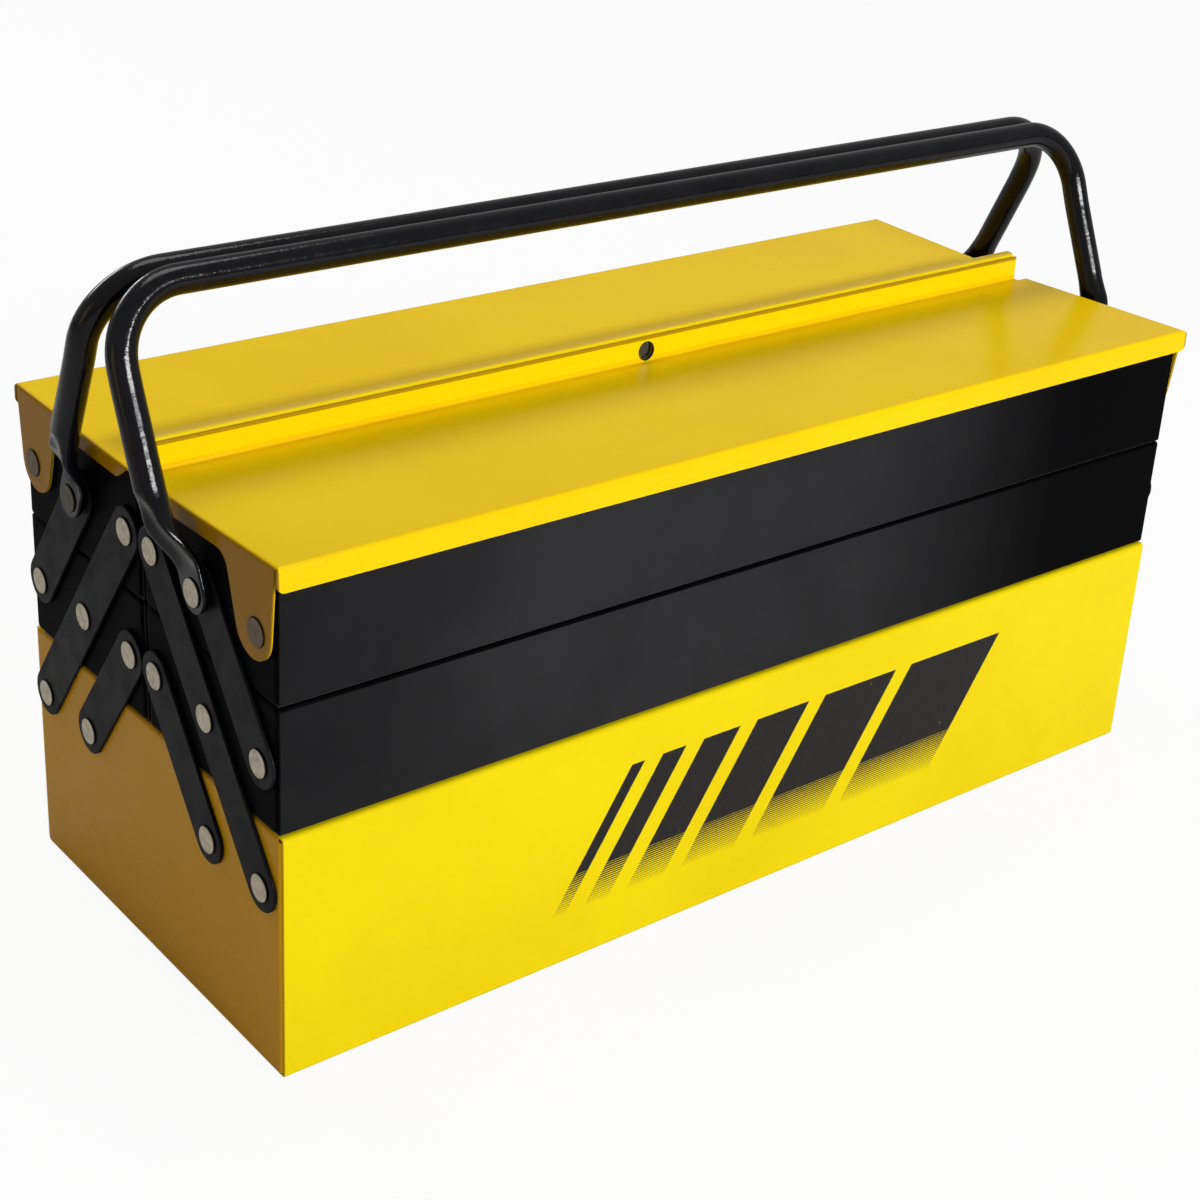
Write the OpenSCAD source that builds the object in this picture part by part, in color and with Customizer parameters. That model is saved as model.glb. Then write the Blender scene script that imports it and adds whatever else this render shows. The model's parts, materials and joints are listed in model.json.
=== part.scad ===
// Five-tray cantilever tool box in folded sheet steel.
// X runs along the box, Y from front to rear, Z up; the origin is under the middle of the base.

/* [Box] */
// Length of the base and trays over their end panels
box_l = 500; // [420:5:560]
// Width of the base over its front and rear walls
base_w = 208; // [190:2:230]
// Height of the base
base_h = 110; // [96:2:130]

/* [Sheet steel] */
// Thickness of every sheet
sheet = 1; // [0.8:0.1:1.2]
// Outer radius of the bends in the base and the lids
bend_r = 2; // [1.6:0.2:3]
// Outer radius of the bends in the trays
tray_bend_r = 1.6; // [1.4:0.1:2]
// Width of the rim turned in round each open top
rim_w = 7; // [5:0.5:9]
// Width of the tabs that fix an end panel inside its shell
tab_w = 10; // [8:0.5:14]

/* [Trays] */
// Height of each tray
tray_h = 54.2; // [50:0.2:60]
// How far the tray fronts stand back from the base front
tray_setback = 1.8; // [1:0.2:3]
// Gap along the middle between front and rear trays
centre_gap = 2; // [1:0.5:4]

/* [Linkage] */
// Width of a link
link_w = 20.5; // [18:0.5:22]
// Thickness of a link
link_t = 1.5; // [1.5:0.1:2.5]
// Distance of the outer pivots from the tray front
pivot_inset = 11.2; // [10.6:0.2:13]
// Height of the pivots above their tray's floor
pivot_up = 27.2; // [25:0.2:29]

/* [Rivets] */
// Diameter of a rivet's shank
shank_d = 5; // [4:0.5:6]
// Diameter of a rivet's head
head_d = 12; // [10:0.5:13]
// Height of a rivet's head
head_h = 0.7; // [0.6:0.1:1.6]
// Diameter of a rivet's tail, clenched inside the panel
tail_d = 9; // [7:0.5:11]
// Height of a rivet's tail
tail_h = 1.2; // [0.8:0.1:2]

/* [Lids] */
// How far a lid stands past the trays at each end
lid_end_over = 2; // [1.6:0.1:3]
// How far a lid reaches forward of its pivots
lid_front_reach = 15.6; // [15:0.2:18]
// Height of a lid's top over its pivots
lid_rise = 30.6; // [30.2:0.2:34]
// Depth of the front flange
lid_front_h = 10; // [8:0.5:13]
// Radius of the front flange's lower corners
lid_corner_r = 3.2; // [1:0.2:5]
// Depth of the end flanges
lid_end_h = 7; // [5:0.5:9]
// Gap between the front flange and the ears
ear_relief = 0.8; // [0.5:0.1:1.5]
// Radius of an ear's round end
ear_r = 12.4; // [11:0.2:13]
// How far the middle of that end lies behind the rivet
ear_shift = 2.6; // [1:0.2:3.6]
// How far it lies above the rivet
ear_lift = 0.6; // [0:0.2:1.4]
// Distance from the rivet back to where an ear meets the end flange
ear_root = 21.5; // [19:0.5:24]
// Radius of the curve from an ear to the end flange
ear_fillet = 8; // [5:0.5:9]
// Height of the upright flange along the middle of the front lid
flange_h = 11.6; // [10:0.2:15]
// How much higher the rear lid's upright flange stands
flange_extra = 1.2; // [0.5:0.1:2.5]
// Width of the lip folded back from the rear lid's flange
lip_w = 4.5; // [3:0.5:8]
// How far the upright flanges stop short of the lid ends
flange_inset = 7.5; // [5:0.5:12]
// Diameter of the padlock hole
lock_hole_d = 8; // [6:0.5:8.5]
// Height of the padlock hole's centre over the lid
lock_hole_up = 4.9; // [4.6:0.1:6]

/* [Handles] */
// Diameter of the handle tube
tube_d = 12; // [10:0.5:14]
// Width of the flattened tube end
flat_w = 16.8; // [15:0.2:20]
// Thickness of the flattened tube end
flat_t = 2.6; // [2:0.2:4]
// Height of the grip over the handle pivots
grip_rise = 105.4; // [95:1:130]
// Radius of the bends at the ends of the grip
grip_bend_r = 29; // [20:1:34]
// How much more upright the grip's bends stand than a straight leg would
grip_ease = 2; // [0.5:0.5:8]
// How far the legs stand out from their flattened ends
leg_out = 4; // [0:0.5:6]
// Distance from the grip down to the kink in the leg
kink_drop = 37; // [36:1:44]
// Radius of the bend at the kink
kink_r = 50; // [30:5:80]
// Length of the flattened end above its pivot
flat_l = 10; // [10:1:24]
// Length over which the round tube is pressed flat
crimp_l = 20; // [14:1:30]

/* [Clearances] */
// Gap under a closed tray or lid
seat_gap = 0.3; // [0.2:0.1:0.6]
// Radial play of a part that turns on a rivet
pivot_play = 0.05; // [0.02:0.01:0.1]
// Radial play of a rivet in the panel that holds it
rivet_play = 0.02; // [0.01:0.01:0.03]
// Gap between the links and the end panels
link_gap = 0.3; // [0.2:0.1:0.6]
// Gap under a rivet's head
head_gap = 0.1; // [0.05:0.05:0.2]
// Gap between an end panel's tabs and the shell round them
seam_gap = 0.1; // [0.05:0.05:0.2]
// Gap between the ends of front and rear links
link_end_gap = 0.7; // [0.4:0.1:1.5]
// Gap between the two lids' upright flanges
lid_gap = 1; // [0.6:0.1:2]
// Gap between the two closed grips
grip_gap = 0.6; // [0.4:0.1:2]
// Gap between the handle legs and the rivet heads they pass
handle_gap = 0.4; // [0.3:0.1:1]

/* [Hidden] */
$fn = 48;

yellow = [0.90, 0.76, 0.05];
black = [0.13, 0.13, 0.14];
gloss_black = [0.05, 0.05, 0.06];
steel = [0.66, 0.64, 0.58];

bend_steps = 6;      // facets in a quarter bend
ear_steps = 20;      // facets round the end of an ear
crimp_step = 0.1;    // how far the crimp runs into the round tube and inside its surface
kink_step = 0.02;    // how far the bent tube at the kink is drawn in
kink_lap = 0.5;      // angle by which that bend runs into the straight tube at each end

// Outer planes, and the heights of the three rows of pivots
end_x = box_l / 2;
front_y = -base_w / 2;
tray_front_y = front_y + tray_setback;
tray_centre_y = -centre_gap / 2;
tray_pitch = tray_h + seat_gap;
middle_z = base_h + seat_gap;
upper_z = middle_z + tray_pitch;
base_row = middle_z + pivot_up - tray_pitch;
middle_row = middle_z + pivot_up;
upper_row = upper_z + pivot_up;

// The pivots stand at equal steps from the tray front to the middle of the box
outer_y = tray_front_y + pivot_inset;
inner_y = -(link_w + link_end_gap) / 2;
mid_y = (outer_y + inner_y) / 2;

// Layers outside an end panel, measured along X
link_in = end_x + link_gap;
link_out = link_in + link_t;
link_head = link_out + head_gap;
lid_out = end_x + lid_end_over;
ear_head = lid_out + head_gap;
handle_in = max(link_head, ear_head) + head_h + handle_gap;
handle_out = handle_in + flat_t;
handle_head = handle_out + head_gap;
leg_x = handle_in + tube_d / 2 + leg_out;

// A closed lid leans on the upper tray's inner wall
rest = [tray_centre_y - outer_y, tray_h - pivot_up + seat_gap];
lid_tilt = atan2(rest[0], rest[1]) - acos((lid_rise - sheet) / norm(rest));
flange_top = lid_rise + flange_h + flange_extra;
lid_centre = (-outer_y - lid_gap / 2 - flange_top * sin(lid_tilt)) / cos(lid_tilt);
lock_z = upper_row + (lid_rise + lock_hole_up) * cos(lid_tilt) - lid_centre * sin(lid_tilt);

// The handle's grip, and the kink where its leg starts to lean further out
grip_y = -(tube_d + grip_gap) / 2;
grip_z = upper_row + grip_rise;
grip_lean = atan2(grip_y - mid_y, grip_rise) - grip_ease;
kink_y = grip_y - kink_drop * sin(grip_lean);
kink_z = grip_z - kink_drop * cos(grip_lean);
leg_lean = atan2(kink_y - mid_y, kink_z - upper_row);
leg_l = norm([kink_y - mid_y, kink_z - upper_row]);
crimp_end = flat_l + crimp_l;
kink_tangent = kink_r * tan((leg_lean - grip_lean) / 2);

function unit(v) = v / norm(v);
function normal_left(v) = [-v[1], v[0]];
function turned(v, a) = [v[0] * cos(a) - v[1] * sin(a), v[0] * sin(a) + v[1] * cos(a)];

// Points of the arc that rounds corner b between a and c
function rounded(a, b, c, r) =
    let (u = unit(a - b), w = unit(c - b), half = acos(u * w) / 2,
         centre = b + unit(u + w) * r / sin(half), start = b + u * r / tan(half) - centre,
         way = sign(cross(b - a, c - b)))
    [for (i = [0 : bend_steps]) centre + turned(start, way * (180 - 2 * half) * i / bend_steps)];

// Corner b moved to the left of its two legs by t
function moved_left(a, b, c, t) =
    let (m = normal_left(unit(b - a)), n = normal_left(unit(c - b)))
    b + t * (m + n) / (1 + m * n);

function bend_radius(a, b, c, r, t) = cross(b - a, c - b) > 0 ? r : r - t;

// Direction from centre c in which a line from p touches the circle of radius r, on one side
function touch(p, c, r, side) = atan2(p[1] - c[1], p[0] - c[0]) + side * acos(r / norm(p - c));

// Outline of a folded sheet: its outer line is path, and its thickness lies to the left
function folded(path, r, t = sheet) =
    let (n = len(path) - 1)
    concat(
        [path[0]],
        [for (i = [1 : n - 1])
            each rounded(path[i - 1], path[i], path[i + 1],
                         bend_radius(path[i - 1], path[i], path[i + 1], r, t))],
        [path[n], path[n] + t * normal_left(unit(path[n] - path[n - 1]))],
        [for (i = [n - 1 : -1 : 1])
            let (a = path[i - 1], b = path[i], c = path[i + 1], q = moved_left(a, b, c, t))
            each rounded(q + c - b, q, q + a - b, r + (r - t) - bend_radius(a, b, c, r, t))],
        [path[0] + t * normal_left(unit(path[1] - path[0]))]);

// Frames: outlines in Y and Z pulled along X, and outlines in X and Z pulled along Y
module along_x(from, to) {
    translate([from, 0, 0]) rotate([90, 0, 90]) linear_extrude(to - from) children();
}
module along_y(from, to) {
    translate([0, to, 0]) rotate([90, 0, 0]) linear_extrude(to - from) children();
}
// A round bar from distance from to distance to, outwards through the left end
module pin_out(y, z, from, to, d) {
    translate([-from, y, z]) rotate([0, -90, 0]) cylinder(h = to - from, d = d);
}
module right() { mirror([1, 0, 0]) children(); }
module rear() { mirror([0, 1, 0]) children(); }

// Floor, two walls and their rims, folded from one sheet
module shell(y0, y1, z0, h, r) {
    along_x(sheet - end_x, end_x - sheet)
        polygon(folded([[y0 + rim_w, z0 + h], [y0, z0 + h], [y0, z0],
                        [y1, z0], [y1, z0 + h], [y1 - rim_w, z0 + h]], r));
}

// Left end panel: tabs inside the walls and the floor, a rim on top, holes for the rivets;
// the web's upper edge runs on beside the rim, in the gap at the end of the shell's own rims
module end_panel(y0, y1, z0, h, r, holes, row) {
    wall0 = y0 + sheet + seam_gap;
    wall1 = y1 - sheet - seam_gap;
    floor_z = z0 + sheet + seam_gap;
    section = folded([[rim_w - end_x, z0 + h], [-end_x, z0 + h],
                      [-end_x, floor_z], [tab_w - end_x, floor_z]], r);
    difference() {
        union() {
            translate([0, 0, z0 + r + seam_gap]) linear_extrude(h - 2 * (r + seam_gap))
                polygon(folded([[tab_w - end_x, wall1], [-end_x, wall1],
                                [-end_x, wall0], [tab_w - end_x, wall0]], r));
            along_y(y0 + rim_w + seam_gap, y1 - rim_w - seam_gap) polygon(section);
            along_y(wall0 + r, wall1 - r) intersection() {
                polygon(section);
                translate([-end_x, z0 + h / 2]) square([sheet - seam_gap, h]);
            }
        }
        for (y = holes)
            pin_out(y, row, end_x - 2 * sheet, end_x + sheet, shank_d + 2 * rivet_play);
    }
}

// Rivet through the left end panel: tail inside, shank, and a head whose underside is at reach
module rivet(y, z, reach) {
    pin_out(y, z, end_x - sheet - tail_h, end_x - sheet, tail_d);
    pin_out(y, z, end_x - sheet, reach, shank_d);
    translate([-reach, y, z]) rotate([0, -90, 0]) rotate_extrude()
        polygon([[0, 0], [head_d / 2, 0], [head_d / 2, head_h * 0.4],
                 [head_d / 2 - head_h * 0.6, head_h * 0.9], [0, head_h]]);
}

// Flat bar with round ends through a row of pivots, with a running hole at each
module link(pivots) {
    first = pivots[0];
    run = pivots[len(pivots) - 1] - first;
    translate([0, first[0], first[1]]) rotate([atan2(run[1], run[0]), 0, 0]) difference() {
        along_x(-link_out, -link_in) {
            circle(d = link_w);
            translate([norm(run), 0]) circle(d = link_w);
            translate([0, -link_w / 2]) square([norm(run), link_w]);
        }
        for (p = pivots)
            pin_out(norm(p - first), 0, link_in - link_t, link_out + link_t,
                    shank_d + 2 * pivot_play);
    }
}

// Side view of a lid's end flange and ear; the ear's edges run straight onto its round end
module ear_outline() {
    edge = lid_rise - lid_end_h;
    corner = [-lid_front_reach + sheet + ear_relief, lid_rise + sheet];
    root = [ear_root, edge];
    tip = lid_centre - lid_end_h - flange_inset;
    centre = [ear_shift, ear_lift];
    from = touch(corner, centre, ear_r, 1);
    to = touch(root, centre, ear_r, -1) + 360;
    lobe = [for (i = [0 : ear_steps])
        let (angle = from + (to - from) * i / ear_steps) centre + ear_r * [cos(angle), sin(angle)]];
    polygon(concat([corner], lobe,
        rounded(lobe[ear_steps], root, [tip, edge], ear_fillet),
        [[tip, edge], [tip + lid_end_h, lid_rise - bend_r], [tip + lid_end_h, lid_rise + sheet]]));
}

// One end of a lid, folded down from its top, in the lid's own frame
module lid_end() {
    intersection() {
        along_y(-lid_front_reach, lid_centre)
            polygon(folded([[2 * bend_r - lid_out, lid_rise], [-lid_out, lid_rise],
                            [-lid_out, -ear_r - sheet]], bend_r));
        along_x(-lid_out - sheet, -lid_out + 3 * bend_r) ear_outline();
    }
}

// Lid with its front flange, upright centre flange and ends; lip is the fold on top, if any
module lid(centre_h, lip) {
    run = lid_out - bend_r;
    upright = [[0, lid_rise - sheet], [lid_centre - sheet, lid_rise - sheet],
               [lid_centre - sheet, lid_rise + centre_h]];
    folded_lip = [[0, lid_rise - sheet], [lid_centre, lid_rise - sheet],
                  [lid_centre, lid_rise + centre_h], [lid_centre - lip_w, lid_rise + centre_h]];
    plain = [[0, lid_rise - sheet], [lid_centre, lid_rise - sheet],
             [lid_centre, lid_rise + centre_h]];
    difference() {
        translate([0, outer_y, upper_row]) rotate([-lid_tilt, 0, 0]) difference() {
            union() {
                intersection() {
                    along_x(-lid_out, lid_out)
                        polygon(folded([[lid_centre - 2 * bend_r, lid_rise], [-lid_front_reach, lid_rise],
                                        [-lid_front_reach, lid_rise - lid_front_h]], bend_r));
                    along_y(-lid_front_reach - sheet, lid_centre) lid_front_view();
                }
                along_x(flange_inset - lid_out, lid_out - flange_inset)
                    polygon(folded(lip ? folded_lip : plain, bend_r));
                lid_end();
                right() lid_end();
            }
            for (side = [0, 1]) mirror([side, 0, 0])
                pin_out(0, 0, end_x, lid_out + sheet, shank_d + 2 * pivot_play);
        }
        translate([0, 0, lock_z]) rotate([90, 0, 0])
            cylinder(h = 4 * sheet + 2 * lid_gap, d = lock_hole_d, center = true);
    }
}
// Front view of a lid's top and front flange, its upper corners rounded like the bends
module lid_front_view() {
    low = lid_rise - lid_front_h;
    polygon(concat(
        rounded([0, lid_rise], [-lid_out, lid_rise], [-lid_out, low], bend_r),
        rounded([-lid_out, lid_rise], [-lid_out, low], [0, low], lid_corner_r),
        rounded([0, low], [lid_out, low], [lid_out, lid_rise], lid_corner_r),
        rounded([lid_out, low], [lid_out, lid_rise], [0, lid_rise], bend_r)));
}

// Left half of a handle: flattened end on its rivet, crimp, leg, kink, bend and half the grip
module handle_half() {
    translate([0, mid_y, upper_row]) rotate([-leg_lean, 0, 0]) {
        difference() {
            union() {
                pin_out(0, 0, handle_in, handle_out, flat_w);
                translate([-handle_out, -flat_w / 2, 0]) cube([flat_t, flat_w, flat_l]);
            }
            pin_out(0, 0, handle_in - flat_t, handle_out + flat_t, shank_d + 2 * pivot_play);
        }
        hull() {
            translate([-handle_out, -flat_w / 2, flat_l - crimp_step])
                cube([flat_t, flat_w, crimp_step]);
            translate([-leg_x, 0, crimp_end])
                cylinder(h = crimp_step, d = tube_d - 2 * crimp_step, $fn = 32);
        }
        translate([-leg_x, 0, crimp_end])
            cylinder(h = leg_l - kink_tangent - crimp_end, d = tube_d);
    }
    translate([0, kink_y, kink_z]) rotate([-grip_lean, 0, 0]) {
        translate([-leg_x, -kink_r, kink_tangent]) rotate([-90, 0, 90]) rotate([0, 0, -kink_lap])
            rotate_extrude(angle = leg_lean - grip_lean + 2 * kink_lap)
                translate([kink_r, 0]) circle(d = tube_d - 2 * kink_step);
        translate([-leg_x, 0, kink_tangent])
            cylinder(h = kink_drop - grip_bend_r - kink_tangent, d = tube_d);
        translate([grip_bend_r - leg_x, 0, kink_drop - grip_bend_r])
            rotate([90, 0, 0]) rotate([0, 0, 90]) rotate_extrude(angle = 90)
                translate([grip_bend_r, 0]) circle(d = tube_d);
        translate([grip_bend_r - leg_x, 0, kink_drop]) rotate([0, 90, 0])
            cylinder(h = leg_x - grip_bend_r, d = tube_d);
    }
}

tray_pivots = [outer_y, mid_y, inner_y];
base_pivots = [outer_y, mid_y];

module base_shell() { color(yellow) shell(front_y, -front_y, 0, base_h, bend_r); }
module base_end() {
    color(yellow) end_panel(front_y, -front_y, 0, base_h, bend_r,
                            concat(base_pivots, -base_pivots), base_row);
}
module base_rivets() {
    color(steel) for (end = [0, 1], side = [0, 1], y = base_pivots)
        mirror([end, 0, 0]) mirror([0, side, 0]) rivet(y, base_row, link_head);
}

module tray_shell(z0) { color(black) shell(tray_front_y, tray_centre_y, z0, tray_h, tray_bend_r); }
module tray_end(z0) {
    color(black) end_panel(tray_front_y, tray_centre_y, z0, tray_h, tray_bend_r,
                           tray_pivots, z0 + pivot_up);
}
module middle_tray_rivets() {
    color(steel) for (end = [0, 1], y = tray_pivots)
        mirror([end, 0, 0]) rivet(y, middle_row, link_head);
}
module upper_tray_rivets() {
    color(steel) for (end = [0, 1]) mirror([end, 0, 0]) {
        rivet(outer_y, upper_row, ear_head);
        rivet(mid_y, upper_row, handle_head);
        rivet(inner_y, upper_row, link_head);
    }
}
module handle_spacers() {
    color(steel) for (end = [0, 1]) mirror([end, 0, 0]) difference() {
        pin_out(mid_y, upper_row, link_head, handle_in - head_gap, head_d);
        pin_out(mid_y, upper_row, link_in, handle_out, shank_d + 2 * rivet_play);
    }
}
module long_link() {
    color(black) link([[outer_y, base_row], [mid_y, middle_row], [inner_y, upper_row]]);
}
module lower_link() { color(black) link([[mid_y, base_row], [inner_y, middle_row]]); }
module upper_link() { color(black) link([[outer_y, middle_row], [mid_y, upper_row]]); }
module plain_lid() { color(yellow) lid(flange_h, false); }
module lipped_lid() { color(yellow) lid(flange_h + flange_extra, true); }
module handle() {
    color(gloss_black) {
        handle_half();
        right() handle_half();
    }
}

base_shell();
base_end();  // base_end_left
right() base_end();  // base_end_right
base_rivets();

tray_shell(middle_z);  // front_middle_tray_shell
tray_end(middle_z);  // front_middle_tray_end_left
right() tray_end(middle_z);  // front_middle_tray_end_right
middle_tray_rivets();  // front_middle_tray_rivets
tray_shell(upper_z);  // front_upper_tray_shell
tray_end(upper_z);  // front_upper_tray_end_left
right() tray_end(upper_z);  // front_upper_tray_end_right
upper_tray_rivets();  // front_upper_tray_rivets
handle_spacers();  // front_handle_spacers
long_link();  // front_long_link_left
right() long_link();  // front_long_link_right
lower_link();  // front_lower_link_left
right() lower_link();  // front_lower_link_right
upper_link();  // front_upper_link_left
right() upper_link();  // front_upper_link_right
plain_lid();  // front_lid
handle();  // front_handle

rear() tray_shell(middle_z);  // rear_middle_tray_shell
rear() tray_end(middle_z);  // rear_middle_tray_end_left
rear() right() tray_end(middle_z);  // rear_middle_tray_end_right
rear() middle_tray_rivets();  // rear_middle_tray_rivets
rear() tray_shell(upper_z);  // rear_upper_tray_shell
rear() tray_end(upper_z);  // rear_upper_tray_end_left
rear() right() tray_end(upper_z);  // rear_upper_tray_end_right
rear() upper_tray_rivets();  // rear_upper_tray_rivets
rear() handle_spacers();  // rear_handle_spacers
rear() long_link();  // rear_long_link_left
rear() right() long_link();  // rear_long_link_right
rear() lower_link();  // rear_lower_link_left
rear() right() lower_link();  // rear_lower_link_right
rear() upper_link();  // rear_upper_link_left
rear() right() upper_link();  // rear_upper_link_right
rear() lipped_lid();  // rear_lid
rear() handle();  // rear_handle
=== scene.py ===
import json
import math

import bpy
from mathutils import Matrix, Vector


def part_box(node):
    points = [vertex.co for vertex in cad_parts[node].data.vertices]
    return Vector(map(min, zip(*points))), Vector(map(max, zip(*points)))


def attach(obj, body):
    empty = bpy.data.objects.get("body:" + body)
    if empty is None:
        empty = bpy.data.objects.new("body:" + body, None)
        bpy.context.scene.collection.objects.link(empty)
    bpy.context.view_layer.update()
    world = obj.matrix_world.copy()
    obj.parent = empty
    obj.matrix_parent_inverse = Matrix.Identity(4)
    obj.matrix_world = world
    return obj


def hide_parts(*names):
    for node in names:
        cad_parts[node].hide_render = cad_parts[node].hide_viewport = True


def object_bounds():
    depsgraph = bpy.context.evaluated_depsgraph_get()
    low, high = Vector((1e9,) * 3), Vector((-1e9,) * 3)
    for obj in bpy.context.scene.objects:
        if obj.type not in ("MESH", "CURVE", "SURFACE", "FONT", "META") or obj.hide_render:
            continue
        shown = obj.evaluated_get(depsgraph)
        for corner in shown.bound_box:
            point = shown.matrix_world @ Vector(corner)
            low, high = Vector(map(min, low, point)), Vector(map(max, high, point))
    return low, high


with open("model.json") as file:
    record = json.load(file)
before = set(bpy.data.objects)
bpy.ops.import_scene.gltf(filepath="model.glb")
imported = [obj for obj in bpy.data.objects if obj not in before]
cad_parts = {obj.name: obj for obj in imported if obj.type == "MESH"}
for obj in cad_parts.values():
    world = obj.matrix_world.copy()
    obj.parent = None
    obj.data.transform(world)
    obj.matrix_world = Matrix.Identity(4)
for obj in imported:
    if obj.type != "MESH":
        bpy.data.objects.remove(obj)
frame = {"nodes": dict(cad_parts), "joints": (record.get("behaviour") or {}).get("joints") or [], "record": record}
cad_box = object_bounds()


# The studio: a pale floor under a closed tool box, one broad soft lamp to the right of the
# viewer for the long front, weaker ones overhead and behind, a small warm one for the left end.
# The camera stands in front of the box's left corner and looks down at it.
CAMERA_PLACE = (-0.60643, -0.70715, 0.55832)
CAMERA_TURN_DEG = (65.282, -3.110, -38.287)
SENSOR_MM, LENS_MM, LENS_SHIFT = 36.0, 66.02, -0.05

bpy.ops.object.select_all(action="DESELECT")
bpy.ops.object.camera_add(location=CAMERA_PLACE,
                          rotation=[math.radians(a) for a in CAMERA_TURN_DEG])
camera = bpy.context.object
camera.data.sensor_width = SENSOR_MM
camera.data.lens = LENS_MM
camera.data.shift_y = LENS_SHIFT
camera.data.clip_end = 100.0
bpy.context.scene.camera = camera
bpy.context.scene.view_settings.view_transform = "Standard"


def soft_lamp(name, place, aim, sides, watts, tint=(1.0, 1.0, 1.0)):
    """A rectangular lamp turned to a point of the box."""
    bpy.ops.object.light_add(type="AREA", location=place)
    lamp = bpy.context.object
    lamp.name = name
    lamp.data.shape = "RECTANGLE"
    lamp.data.size, lamp.data.size_y = sides
    lamp.data.energy = watts
    lamp.data.color = tint
    lamp.rotation_euler = (Vector(aim) - Vector(place)).to_track_quat("-Z", "Y").to_euler()


soft_lamp("front_lamp", (0.18, -2.2, 1.04), (0.0, 0.0, 0.12), (1.2, 0.24), 43.5)
soft_lamp("top_lamp", (0.2, 0.5, 2.4), (0.0, 0.0, 0.2), (1.4, 1.0), 20.0)
soft_lamp("back_lamp", (-0.4, 2.4, 1.1), (0.0, 0.0, 0.12), (1.2, 0.6), 15.0)
soft_lamp("left_lamp", (-2.2, 0.1, 0.5), (-0.25, 0.0, 0.12), (0.7, 0.9), 2.2, (1.0, 0.66, 0.34))


class Wire:
    """A socket in a node tree; arithmetic on it adds Math nodes."""

    def __init__(self, tree, socket=None):
        self.tree, self.socket = tree, socket

    def node(self, kind, settings, sockets, out=0):
        """Adds a node, sets it, fills or links its sockets, and gives one of its outputs."""
        made = self.tree.nodes.new(kind)
        for name, value in settings.items():
            setattr(made, name, value)
        for name, value in sockets.items():
            if isinstance(value, Wire):
                self.tree.links.new(value.socket, made.inputs[name])
            else:
                made.inputs[name].default_value = value
        return Wire(self.tree, made.outputs[out])

    def beside(self, output):
        """Another output of the node that this wire comes from."""
        return Wire(self.tree, self.socket.node.outputs[output])

    def math(self, operation, *others):
        sockets = dict(enumerate((self, *others)))
        return self.node("ShaderNodeMath", {"operation": operation}, sockets)

    def __add__(self, other):
        return self.math("ADD", other)

    __radd__ = __add__

    def __sub__(self, other):
        return self.math("SUBTRACT", other)

    def __rsub__(self, other):
        return (self * -1.0) + other

    def __mul__(self, other):
        return self.math("MULTIPLY", other)

    __rmul__ = __mul__

    def __abs__(self):
        return self.math("ABSOLUTE")

    def __lt__(self, other):
        return self.math("LESS_THAN", other)

    def __gt__(self, other):
        return self.math("GREATER_THAN", other)

    def ramp(self, low, high, start=0.0, end=1.0):
        """start below low, end above high, and a smooth rise between them."""
        settings = {"interpolation_type": "SMOOTHSTEP"}
        sockets = {"Value": self, "From Min": low, "From Max": high,
                   "To Min": start, "To Max": end}
        return self.node("ShaderNodeMapRange", settings, sockets)

    def noise(self, scale, detail=2.0, roughness=0.5, seed=0.0):
        """Cloudy noise read at this place; another seed gives another pattern."""
        sockets = {"Vector": self, "Scale": scale, "Detail": detail,
                   "Roughness": roughness, "W": seed}
        return self.node("ShaderNodeTexNoise", {"noise_dimensions": "4D"}, sockets)

    def tint(self, below, above):
        """Colour below where this wire is 0, colour above where it is 1, a mix between."""
        sockets = {0: self, 6: below, 7: above}
        return self.node("ShaderNodeMix", {"data_type": "RGBA"}, sockets, out=2)

    def bump(self, distance, below=None):
        """A relief this high, laid over another one if that is given."""
        sockets = {"Height": self, "Distance": distance, "Strength": 1.0}
        if below is not None:
            sockets["Normal"] = below
        return self.node("ShaderNodeBump", {}, sockets)


# Seen straight on or through a gap the room is white; a glossy face mirrors a dimmer one
WHITE = (1.0, 1.0, 1.0, 1.0)
ROOM_LEVEL, MIRRORED_MORE = 0.16, 0.28

world = bpy.data.worlds.new("studio")
bpy.context.scene.world = world
world.use_nodes = True
room = world.node_tree
path = Wire(room).node("ShaderNodeLightPath", {}, {})
white = path.beside("Is Camera Ray").math("MAXIMUM", path.beside("Is Transmission Ray"))
level = white.math("MAXIMUM", path.beside("Is Glossy Ray") * MIRRORED_MORE + ROOM_LEVEL)
backdrop = room.nodes["Background"]
backdrop.inputs["Color"].default_value = WHITE
room.links.new(level.socket, backdrop.inputs["Strength"])

FLOOR_SIDE, FLOOR_DROP = 30.0, 0.0003
FLOOR_GREY = (0.82, 0.82, 0.82, 1.0)
FLOOR_GLOW = 0.92

bpy.ops.mesh.primitive_plane_add(size=FLOOR_SIDE,
                                 location=(0.0, 0.0, cad_box[0].z - FLOOR_DROP))
floor = bpy.context.object
floor.name = "studio_floor"
floor_paint = bpy.data.materials.new("pale_floor")
floor_paint.use_nodes = True
tree = floor_paint.node_tree
matt = tree.nodes["Principled BSDF"]
matt.inputs["Base Color"].default_value = FLOOR_GREY
matt.inputs["Roughness"].default_value = 0.9
matt.inputs["Specular IOR Level"].default_value = 0.1
glow = Wire(tree).node("ShaderNodeEmission", {}, {})
seen = Wire(tree).node("ShaderNodeLightPath", {}, {}).beside("Is Camera Ray") * FLOOR_GLOW
paint = seen.node("ShaderNodeMixShader", {}, {0: seen, 1: Wire(tree, matt.outputs[0]), 2: glow})
tree.links.new(paint.socket, tree.nodes["Material Output"].inputs["Surface"])
floor.data.materials.append(floor_paint)


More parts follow.
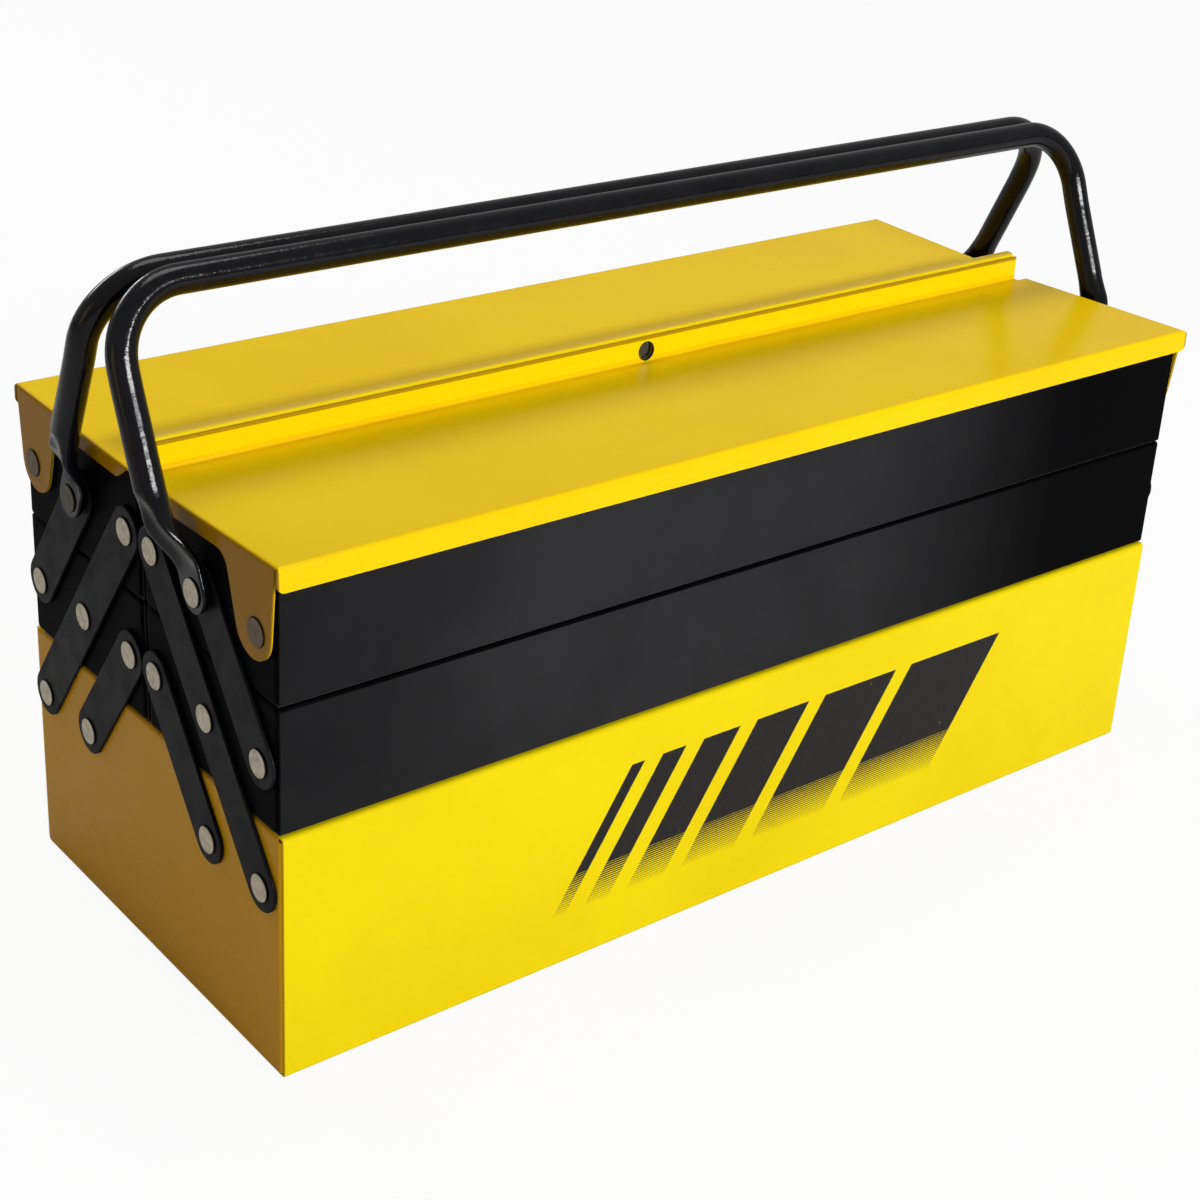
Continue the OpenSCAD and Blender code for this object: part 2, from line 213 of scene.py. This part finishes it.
# The base: a deep box folded from 1 mm steel sheet, with an end panel let in at each end and
# spot-welded behind the walls. It is stove-enamelled yellow, with an orange-peel skin, and the
# front wall carries a screen print of slanting black bars that fade out in fine lines.
def coat(name, roughness, specular, **sockets):
    """A material and its object coordinates, whole and split into x, y and z."""
    material = bpy.data.materials.new(name)
    material.use_nodes = True
    skin = material.node_tree.nodes["Principled BSDF"]
    skin.inputs["Roughness"].default_value = roughness
    skin.inputs["Specular IOR Level"].default_value = specular
    for socket, value in sockets.items():
        skin.inputs[socket.replace("_", " ")].default_value = value
    at = Wire(material.node_tree).node("ShaderNodeTexCoord", {}, {}, out="Object")
    split = at.node("ShaderNodeSeparateXYZ", {}, {0: at})
    return material, at, [split.beside(axis) for axis in "XYZ"]


def wear(material, **sockets):
    """Links wires to the named sockets of a material's shader."""
    skin = material.node_tree.nodes["Principled BSDF"]
    for socket, wire in sockets.items():
        material.node_tree.links.new(wire.socket, skin.inputs[socket.replace("_", " ")])


def dress(material, *nodes):
    """Gives the material to nodes of the frame."""
    for node in nodes:
        slots = frame["nodes"][node].data.materials
        if slots:
            slots[0] = material
        else:
            slots.append(material)


ENAMEL = (0.85, 0.68, 0.002, 1.0)
ENAMEL_THIN = (0.81, 0.62, 0.002, 1.0)
ENAMEL_SHADE = (0.56, 0.285, 0.006, 1.0)
BARE_EDGE = (0.10, 0.065, 0.03, 1.0)
INK_AND_SHADE = (0.022, 0.020, 0.020, 1.0)


def enamel(name, main, thin, roughness=0.26):
    """Yellow stove enamel: a cloudy film, orange peel, slightly wavy sheet and a few specks."""
    material, at, (x, y, z) = coat(name, roughness, 0.06)
    cloud = at.noise(9.0, 3.0, 0.55).ramp(0.35, 0.68)
    colour = cloud.tint(main, thin)
    specks = at.noise(520.0, 1.0, 0.5, 3.0).ramp(0.795, 0.83)
    colour = (specks * 0.7).tint(colour, BARE_EDGE)
    peel = at.noise(430.0, 2.0, 0.6, 1.0)
    sheet = at.noise(7.0, 1.0, 0.4, 2.0)
    smears = at.noise(38.0, 4.0, 0.6, 4.0).ramp(0.3, 0.75, roughness - 0.05, roughness + 0.07)
    wear(material, Roughness=smears, Normal=sheet.bump(0.0009, peel.bump(0.00009)))
    return material, at, (x, y, z), colour


# Painted shade: the end panels get a darker, browner copy of the yellow enamel, standing for the shade on the
# ends.
painted_shade_end_yellow, at, (x, y, z), colour = enamel("yellow_enamel_ends_painted_shade", ENAMEL_SHADE, ENAMEL_SHADE)
wear(painted_shade_end_yellow, Base_Color=colour)

BAR_FOOT, BAR_TOP, BAR_SLANT = 0.020, 0.088, 0.62
BAR_SIDES = ((-0.135, -0.128), (-0.118, -0.105), (-0.095, -0.074),
             (-0.064, -0.033), (-0.023, 0.022), (0.032, 0.092))
FADE_H, LINE_PITCH = 0.030, 0.0011
FRONT_FACE_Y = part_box("base_shell")[0].y + 0.0005

printed_yellow, at, (x, y, z), colour = enamel("yellow_enamel_printed", ENAMEL, ENAMEL_THIN)
slant = x - z * BAR_SLANT
bars = sum((slant > left) * (slant < right) for left, right in BAR_SIDES)
bars = bars * (z > BAR_FOOT) * (z < BAR_TOP) * (y < FRONT_FACE_Y)
lines = (z * (2.0 * math.pi / LINE_PITCH)).math("SINE") * 0.5 + 0.5
fade = z.ramp(BAR_FOOT, BAR_FOOT + FADE_H)
scuff = at.noise(300.0, 3.0, 0.7, 6.0).ramp(0.70, 0.78, 1.0, 0.35)
printed = bars * (lines < (fade * 1.25 - 0.12)) * scuff
wear(printed_yellow, Base_Color=printed.tint(colour, INK_AND_SHADE))

dress(printed_yellow, "base_shell")
dress(painted_shade_end_yellow, "base_end_left", "base_end_right")


# The four trays: shallower boxes folded and fixed like the base, powder-coated black. The
# coat is satin, with a painted sheen that makes it paler along the middle of the walls and darker
# at the right end, painted shade in the gap under each upper tray and a painted highlight on the
# upper trays' lower bends. The end panels are hung inside the linkage and get a darker copy of
# the coat: painted shade for the shade behind the links.
POWDER = (0.0012, 0.0011, 0.0015, 1.0)
POWDER_SHEEN = (0.0265, 0.026, 0.028, 1.0)
SEAM_HIGHLIGHT = (0.052, 0.051, 0.050, 1.0)
DEEP_PALE = (0.0035, 0.0033, 0.0038, 1.0)
UPPER_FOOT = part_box("front_upper_tray_shell")[0].z
SEAM_SHADE_H, SEAM_HIGHLIGHT_H, OUTER_WALL_Y = 0.0018, 0.0007, 0.1

powder, at, (x, y, z) = coat("black_powder_coat", 0.36, 0.012)
cloud = at.noise(14.0, 3.0, 0.6, 1.0).ramp(0.3, 0.7)
# Painted sheen: paler along the middle of the walls, darker towards the left end and dark at the right end.
painted_sheen = x.ramp(-0.30, -0.08, 0.40, 0.95) * x.ramp(0.03, 0.19, 1.0, 0.0) * (cloud * 0.3 + 0.85)
colour = painted_sheen.tint(POWDER, POWDER_SHEEN)
# Painted shade: a dark band just under each upper tray's foot, for the gap between the trays.
seam_shade = (z < UPPER_FOOT) * (z > UPPER_FOOT - SEAM_SHADE_H)
colour = seam_shade.tint(colour, POWDER)
# Painted highlight: a pale line on the upper trays' lower bends on the outer walls, where the bend catches the
# light.
bend_highlight = (z > UPPER_FOOT) * (z < UPPER_FOOT + SEAM_HIGHLIGHT_H) * (abs(y) > OUTER_WALL_Y)
colour = bend_highlight.tint(colour, SEAM_HIGHLIGHT)
rough = at.noise(60.0, 4.0, 0.6, 3.0).ramp(0.3, 0.7, 0.28, 0.40)
grain = at.noise(900.0, 3.0, 0.65)
sheet = at.noise(8.0, 1.0, 0.4, 4.0)
wear(powder, Base_Color=colour, Roughness=rough, Normal=sheet.bump(0.0009, grain.bump(0.00004)))

# Painted shade: the tray end panels get a darker copy of the powder coat, for the shade behind the links.
painted_shade_black, at, (x, y, z) = coat("black_powder_ends_painted_shade", 0.40, 0.008)
colour = at.noise(30.0, 3.0, 0.6).ramp(0.35, 0.7).tint(POWDER, DEEP_PALE)
wear(painted_shade_black, Base_Color=colour, Normal=at.noise(900.0, 3.0, 0.65).bump(0.00003))
for node in frame["nodes"]:
    if "_tray_shell" in node:
        dress(powder, node)
    elif "_tray_end" in node:
        dress(painted_shade_black, node)


# The links: flat steel bars with round ends, blanked on a press and enamelled black. Three of
# them at each corner close two parallelograms with the trays. Their edges are rolled over a
# little, the paint is knocked off there in places, and a black ring of painted shade is laid
# round each rivet.
EDGE_ROLL, END_GAP, RUNNING_HOLE_R = 0.00035, 0.00002, 0.00255
hinges = {joint["name"]: Vector(joint["pos_m"]) for joint in frame["joints"]}
base_outer = hinges["front_long_link_swing"]
base_mid = hinges["front_lower_link_swing"]
middle_outer = hinges["front_upper_link_swing"]
middle_mid = hinges["front_middle_tray_level"]
upper_mid = hinges["front_handle_hinge"]
upper_inner = hinges["front_upper_tray_level"]
middle_inner = Vector((0.0, upper_inner.y, middle_mid.z))
LINK_PIVOTS = {
    "long": (base_outer, middle_mid, upper_inner),
    "lower": (base_mid, middle_inner),
    "upper": (middle_outer, upper_mid),
}
link_back, link_face = (corner.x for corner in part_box("front_long_link_right"))
LINK_T = link_face - link_back
LINK_W = 2 * (base_outer.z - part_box("front_long_link_right")[0].z)
END_SEGMENTS, DRILL_L = 14, 0.7


def cut_bores(piece, places, radius):
    """Drills holes along X through a piece."""
    for place in places:
        bpy.ops.mesh.primitive_cylinder_add(vertices=32, radius=radius, depth=DRILL_L,
                                            location=place, rotation=(0.0, math.pi / 2, 0.0))
        drill = bpy.context.object
        bore = piece.modifiers.new("bore", "BOOLEAN")
        bore.object, bore.solver = drill, "EXACT"
        bpy.context.view_layer.objects.active = piece
        bpy.ops.object.modifier_apply(modifier="bore")
        bpy.data.objects.remove(drill)


def link_bar(name, pivots):
    """A bar at the right end of the front, from its first pivot to its last."""
    first, last = pivots[0], pivots[-1]
    run = last - first
    bpy.ops.object.select_all(action="DESELECT")
    bpy.ops.mesh.primitive_cube_add(size=1.0)
    bar = bpy.context.object
    bar.name = name
    bar.dimensions = (LINK_T, LINK_W, run.length + LINK_W)
    bpy.ops.object.transform_apply(location=True, rotation=True, scale=True)
    bpy.ops.object.mode_set(mode="EDIT")
    bpy.ops.mesh.select_mode(type="EDGE")
    bpy.ops.mesh.select_all(action="DESELECT")
    bpy.ops.object.mode_set(mode="OBJECT")
    for edge in bar.data.edges:
        ends = [bar.data.vertices[i].co for i in edge.vertices]
        edge.select = abs(ends[0].x - ends[1].x) > LINK_T / 2
    bpy.ops.object.mode_set(mode="EDIT")
    bpy.ops.mesh.bevel(offset=LINK_W / 2 - END_GAP, segments=END_SEGMENTS)
    bpy.ops.mesh.select_mode(type="VERT")
    bpy.ops.object.mode_set(mode="OBJECT")
    rolled = bar.modifiers.new("rolled_edges", "BEVEL")
    rolled.width, rolled.segments, rolled.limit_method = EDGE_ROLL, 2, "ANGLE"
    rolled.angle_limit = math.radians(60)
    bpy.ops.object.modifier_apply(modifier="rolled_edges")
    bar.rotation_euler = (-math.atan2(run.y, run.z), 0.0, 0.0)
    bar.location = (first + last) / 2 + Vector(((link_back + link_face) / 2, 0.0, 0.0))
    bpy.ops.object.transform_apply(location=True, rotation=True, scale=True)
    cut_bores(bar, pivots, RUNNING_HOLE_R)
    return bar


def mirrored_copy(piece, name, along_x, along_y):
    """A copy of a piece turned over to another corner of the box."""
    other = piece.copy()
    other.data = piece.data.copy()
    other.name = name
    bpy.context.scene.collection.objects.link(other)
    other.data.transform(Matrix.Diagonal((along_x, along_y, 1.0, 1.0)))
    if along_x * along_y < 0:
        other.data.flip_normals()
    return other


ROW_STEP = middle_mid.z - base_mid.z
COLUMN_STEP = upper_inner.y - upper_mid.y


def rivet_radius(y, z):
    """Distance of a point from the nearest pivot; the pivots stand on a regular grid."""
    row = (z - base_mid.z).math("WRAP", ROW_STEP / 2, -ROW_STEP / 2)
    column = (abs(y) + upper_inner.y).math("WRAP", COLUMN_STEP / 2, -COLUMN_STEP / 2)
    return (row * row + column * column).math("SQRT")


LINK_BLACK = (0.003, 0.003, 0.004, 1.0)
LINK_PALE = (0.010, 0.0098, 0.0115, 1.0)
RING_SHADE = (0.0015, 0.0015, 0.002, 1.0)
CHIP = (0.30, 0.28, 0.25, 1.0)

bar_black, at, (x, y, z) = coat("black_bar_enamel", 0.30, 0.05)
colour = at.noise(26.0, 3.0, 0.6, 3.0).ramp(0.35, 0.7).tint(LINK_BLACK, LINK_PALE)
# Painted shade: a black ring round each rivet head on the links.
ring_shade = rivet_radius(y, z).ramp(0.0066, 0.0072, 1.0, 0.0)
colour = ring_shade.tint(colour, RING_SHADE)
knocks = at.noise(520.0, 2.0, 0.6, 1.0).ramp(0.77, 0.80)
colour = knocks.tint(colour, CHIP)
rough = at.noise(80.0, 4.0, 0.6, 3.0).ramp(0.3, 0.7, 0.30, 0.46)
peel = at.noise(520.0, 2.0, 0.5)
wear(bar_black, Base_Color=colour, Roughness=rough, Normal=peel.bump(0.00005))

for kind, pivots in LINK_PIVOTS.items():
    bar = link_bar("front_" + kind + "_link_bar_right", pivots)
    bar.data.materials.append(bar_black)
    corners = {("front", "right"): bar}
    for side, end, mirror_x, mirror_y in (("front", "left", -1, 1), ("rear", "right", 1, -1),
                                          ("rear", "left", -1, -1)):
        name = side + "_" + kind + "_link_bar_" + end
        corners[side, end] = mirrored_copy(bar, name, mirror_x, mirror_y)
    for (side, end), piece in corners.items():
        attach(piece, side + "_" + kind + "_links")
        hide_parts(side + "_" + kind + "_link_" + end)


# The rivets: zinc-plated steel with flat round heads, closed with a hammer, so the face is
# dull and pitted; the rim of each head is painted black as painted shade. Those through the lids'
# ears have gone brown. The handle ends stand off the trays on plain spacers.
RIVET_FACE = (0.58, 0.53, 0.41, 1.0)
RIVET_DARK = (0.36, 0.325, 0.255, 1.0)
RIVET_BROWN = (0.115, 0.072, 0.034, 1.0)
RIVET_SOOT = (0.035, 0.033, 0.028, 1.0)
HEAD_REACH = 0.01

zinc, at, (x, y, z) = coat("dull_zinc", 0.42, 0.10)
radius = rivet_radius(y, z)
blot = at.noise(300.0, 4.0, 0.7).ramp(0.30, 0.74)
face = blot.tint(RIVET_FACE, RIVET_DARK)
top_row = z > upper_mid.z - HEAD_REACH
at_ear = (abs(y) > -middle_outer.y - HEAD_REACH) * top_row
face = (at_ear * 0.88).tint(face, RIVET_BROWN)
rear_handle_end = (abs(y + upper_mid.y) < HEAD_REACH) * top_row
face = (rear_handle_end * 0.85).tint(face, RIVET_SOOT)
# Painted shade: the rim of each rivet head is painted black.
rim_shade = radius.ramp(0.0055, 0.0058)
colour = rim_shade.tint(face, RING_SHADE)
rough = at.noise(500.0, 2.0, 0.6, 2.0).ramp(0.3, 0.7, 0.38, 0.60)
bright = (1.0 - rim_shade) * (1.0 - at_ear) * (0.85 - rear_handle_end * 0.7)
pits = at.noise(700.0, 2.0, 0.6, 5.0)
dished = radius.ramp(0.0030, 0.0056)
wear(zinc, Base_Color=colour, Metallic=bright, Roughness=rough,
     Normal=dished.bump(0.00008, pits.bump(0.00014)))
for node in frame["nodes"]:
    if node.endswith("rivets") or node.endswith("spacers"):
        dress(zinc, node)


# The lids: each folded from one sheet, with a flange down the front, ears at both ends that
# turn on the upper tray's outer rivets, and an upright flange along the middle of the box.
# The rear lid's flange ends in a lip folded back, painted duller and darker as painted shade.
ENAMEL_LID = (0.93, 0.63, 0.002, 1.0)
ENAMEL_LID_THIN = (0.90, 0.585, 0.002, 1.0)
ENAMEL_LIT_FLANGE = (0.95, 0.72, 0.002, 1.0)
ENAMEL_END_SHADE = (0.33, 0.165, 0.001, 1.0)
LIP_SHADE = (0.72, 0.47, 0.05, 1.0)
FLANGE_TOP_SHADE = (0.36, 0.17, 0.003, 1.0)
END_FACE_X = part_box("front_lid")[1].x - 0.0012
FLANGE_FOOT_Z, FLANGE_REACH = 0.2226, 0.0035
LIP_T, STRIPE_H = 0.0006, 0.0014
front_flange_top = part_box("front_lid")[1].z
rear_flange_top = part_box("rear_lid")[1].z
lock_hole = next(m for m in frame["record"]["mounts"] if m["name"] == "padlock_hole")
LOCK_Z, LOCK_R = lock_hole["pos_m"][2], lock_hole["dims"]["r_mm"] / 1000
RIM_W = 0.0005
LOCK_SHADE_SPOT = Vector((0.0088, 0.0102, 0.2206))
LOCK_SHADE_L, LOCK_SHADE_W, LOCK_SHADE_TURN = 0.0115, 0.0031, math.radians(49.3)
LID_SKIN = 0.0008

lid_yellow, at, (x, y, z), colour = enamel("yellow_enamel_lids",
                                           ENAMEL_LID, ENAMEL_LID_THIN, 0.22)
# Painted light: the upright flanges are painted a brighter yellow than the lid tops.
painted_light_flange = (z > FLANGE_FOOT_Z) * (abs(y) < FLANGE_REACH)
colour = painted_light_flange.tint(colour, ENAMEL_LIT_FLANGE)
# Painted shade: the lip on top of the rear flange is painted a duller, darker yellow.
lip = (z > rear_flange_top - LIP_T) * y.ramp(0.0004, 0.0012)
colour = (lip * 0.9).tint(colour, LIP_SHADE)
# Painted shade: a brown stripe along the top of the front flange, for the shade in the gap between the two
# flanges.
top_edge_shade = (z > front_flange_top - STRIPE_H) * (y < 0.0)
colour = (top_edge_shade * 0.8).tint(colour, FLANGE_TOP_SHADE)

# Painted shade: the padlock hole's bore and rim are painted black, and a dark streak is painted on the rear lid
# behind it, where it is seen through the hole, so that the hole looks dark.
up = z - LOCK_Z
rim_shade = ((x * x + up * up).math("SQRT") < LOCK_R + RIM_W) * (abs(y) < FLANGE_REACH + RIM_W)
colour = rim_shade.tint(colour, INK_AND_SHADE)
right, back = x - LOCK_SHADE_SPOT.x, y - LOCK_SHADE_SPOT.y
along = (right * math.cos(LOCK_SHADE_TURN) + back * math.sin(LOCK_SHADE_TURN)) * (1 / LOCK_SHADE_L)
aside = (right * math.sin(LOCK_SHADE_TURN) - back * math.cos(LOCK_SHADE_TURN)) * (1 / LOCK_SHADE_W)
lock_shade = (along * along + aside * aside).math("SQRT").ramp(0.82, 1.0, 1.0, 0.0)
lock_shade = lock_shade * (abs(z - LOCK_SHADE_SPOT.z) < LID_SKIN)
colour = (lock_shade * 0.94).tint(colour, INK_AND_SHADE)

# Painted shade: the lids' end faces and ears are painted a dark brown.
end_face = abs(x).ramp(END_FACE_X, END_FACE_X + 0.0009)
colour = end_face.tint(colour, ENAMEL_END_SHADE)
wear(lid_yellow, Base_Color=colour)
dress(lid_yellow, "front_lid", "rear_lid")


# The handles: steel tube bent to a wide arch, with a kink in each leg and its ends pressed
# flat round the rivets that they swing on. They are dipped in gloss black enamel.
TUBE_R, RING = 0.006, 48
PIVOT = upper_mid
outer_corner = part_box("front_handle")[1]
LEG_X = outer_corner.x - TUBE_R
GRIP = Vector((0.0, outer_corner.y - TUBE_R, outer_corner.z - TUBE_R))
GRIP_EASE = math.radians(2.0)
GRIP_LEAN = math.atan2(GRIP.y - PIVOT.y, GRIP.z - PIVOT.z) - GRIP_EASE
KINK_DROP, KINK_R, BEND_R = 0.037, 0.050, 0.029
TAB_L, TAB_W, TAB_T, TAB_SET = 0.008, 0.0168, 0.0026, 0.004
CRIMP_L, DENT, SHOULDER = 0.033, 0.0036, 0.0004
WELD, SMOOTH_BELOW_DEG = 0.00005, 40
END_RINGS, TAB_RINGS, CRIMP_RINGS = 8, 4, 24
KINK_RINGS, BEND_RINGS, GRIP_RINGS = 6, 20, 8

up_grip = Vector((0.0, math.sin(GRIP_LEAN), math.cos(GRIP_LEAN)))
leg = GRIP - up_grip * KINK_DROP - PIVOT
LEG_LEAN = math.atan2(leg.y, leg.z)
kink_run = KINK_R * math.tan((LEG_LEAN - GRIP_LEAN) / 2)


def eased(share):
    return share * share * (3 - 2 * share)


OUTER_LEADS, MOVES_IN_FROM, SPREADS_AHEAD = 0.8, 0.36, 1.35
FACE_FLATNESS, SIDE_FULLNESS = 2.6, 0.75


def press_flat(mesh):
    """Squeezes the lower end of an upright tube to a tab; the outer wall folds in first."""
    tab_in = TUBE_R + TAB_SET - TAB_T / 2
    for v in mesh.vertices:
        height = v.co.z
        angle = math.atan2(v.co.y, v.co.x + LEG_X)
        outer = max(0.0, -math.cos(angle)) ** 3
        # from 0 in the round tube to 1 in the tab
        share = min(1.0, max(0.0, (TAB_L + CRIMP_L - height) / CRIMP_L))
        flat = eased(share ** (2 * OUTER_LEADS - OUTER_LEADS * outer))
        moved_in = eased(max(0.0, (share - MOVES_IN_FROM) / (1 - MOVES_IN_FROM)))
        spread = eased(min(1.0, share * SPREADS_AHEAD))
        dent = math.sin(math.pi * share) * outer * DENT
        # the tab's section is a rounded bar, and its end a half circle
        half = TAB_W / 2 + SHOULDER * min(1.0, 2.0 * (1 - share))
        tab_x = max(-1.0, min(1.0, FACE_FLATNESS * math.cos(angle))) * TAB_T / 2
        tab_y = half * math.copysign(abs(math.sin(angle)) ** SIDE_FULLNESS, math.sin(angle))
        width = 1.0 if height >= 0 else math.sqrt(max(0.0, 1 - (2 * height / TAB_W) ** 2))
        v.co.x = (-LEG_X + tab_in * moved_in + dent
                  + TUBE_R * math.cos(angle) * (1 - flat) + tab_x * flat)
        v.co.y = (TUBE_R * math.sin(angle) * (1 - spread) + tab_y * spread) * max(width, 0.08)


def extrude(step):
    bpy.ops.mesh.extrude_region_move(TRANSFORM_OT_translate={"value": step})


def half_handle(name):
    """The left leg, drawn up from its tab through the kink and the bend to the middle."""
    bpy.ops.object.select_all(action="DESELECT")
    bpy.ops.mesh.primitive_circle_add(vertices=RING, radius=TUBE_R, fill_type="NOTHING",
                                      location=(-LEG_X, 0.0, -TAB_W / 2))
    piece = bpy.context.object
    piece.name = name
    bpy.ops.object.transform_apply(location=True, rotation=True, scale=True)
    bpy.ops.object.mode_set(mode="EDIT")
    bpy.ops.mesh.select_all(action="SELECT")
    bpy.ops.mesh.edge_face_add()
    heights = [-TAB_W / 2 * math.cos(math.pi / 2 * i / END_RINGS) for i in range(END_RINGS + 1)]
    heights += [TAB_L * i / TAB_RINGS for i in range(1, TAB_RINGS + 1)]
    heights += [TAB_L + CRIMP_L * i / CRIMP_RINGS for i in range(1, CRIMP_RINGS + 1)]
    for below, above in zip(heights, heights[1:]):
        extrude((0.0, 0.0, above - below))
    bpy.ops.object.mode_set(mode="OBJECT")
    press_flat(piece.data)

    turn = Matrix.Rotation(-LEG_LEAN, 3, "X")
    for v in piece.data.vertices:
        v.co = turn @ v.co + PIVOT
    bpy.ops.object.mode_set(mode="EDIT")
    leg_up = turn @ Vector((0.0, 0.0, 1.0))
    leg_side = Vector((-LEG_X, 0.0, 0.0))
    extrude(leg_up * (leg.length - kink_run - TAB_L - CRIMP_L))
    kink_centre = PIVOT + leg - leg_up * kink_run + turn @ Vector((0.0, -KINK_R, 0.0))
    bpy.ops.mesh.spin(steps=KINK_RINGS, angle=GRIP_LEAN - LEG_LEAN, center=kink_centre + leg_side,
                      axis=(1.0, 0.0, 0.0))
    extrude(up_grip * (KINK_DROP - BEND_R - kink_run))
    bend_centre = GRIP - up_grip * BEND_R + Vector((BEND_R, 0.0, 0.0))
    bpy.ops.mesh.spin(steps=BEND_RINGS, angle=math.pi / 2, center=bend_centre + leg_side,
                      axis=Vector((1.0, 0.0, 0.0)).cross(up_grip))
    for _ in range(GRIP_RINGS):
        extrude(((LEG_X - BEND_R) / GRIP_RINGS, 0.0, 0.0))
    bpy.ops.object.mode_set(mode="OBJECT")
    return piece


front_handle = half_handle("front_handle_tube")
mirror = front_handle.modifiers.new("both_legs", "MIRROR")
mirror.use_axis = (True, False, False)
mirror.merge_threshold = WELD
bpy.ops.object.modifier_apply(modifier="both_legs")
cut_bores(front_handle, (PIVOT,), RUNNING_HOLE_R)
bpy.ops.object.select_all(action="DESELECT")
front_handle.select_set(True)
bpy.ops.object.mode_set(mode="EDIT")
bpy.ops.mesh.select_all(action="SELECT")
bpy.ops.mesh.normals_make_consistent(inside=False)
bpy.ops.object.mode_set(mode="OBJECT")
bpy.ops.object.shade_smooth_by_angle(angle=math.radians(SMOOTH_BELOW_DEG))

rear_handle = mirrored_copy(front_handle, "rear_handle_tube", 1, -1)

GLOSS_DEEP = (0.0015, 0.0015, 0.0025, 1.0)
GLOSS_THIN = (0.004, 0.0035, 0.005, 1.0)
gloss, at, (x, y, z) = coat("gloss_black_enamel", 0.12, 0.22)
colour = at.noise(40.0, 3.0, 0.6).ramp(0.3, 0.7).tint(GLOSS_DEEP, GLOSS_THIN)
rough = at.noise(120.0, 3.0, 0.6, 2.0).ramp(0.3, 0.72, 0.09, 0.20)
runs = at.noise(330.0, 3.0, 0.6, 1.0)
wear(gloss, Base_Color=colour, Roughness=rough, Normal=runs.bump(0.00013))
for piece, body in ((front_handle, "front_handle"), (rear_handle, "rear_handle")):
    piece.data.materials.append(gloss)
    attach(piece, body)
    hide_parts(body)
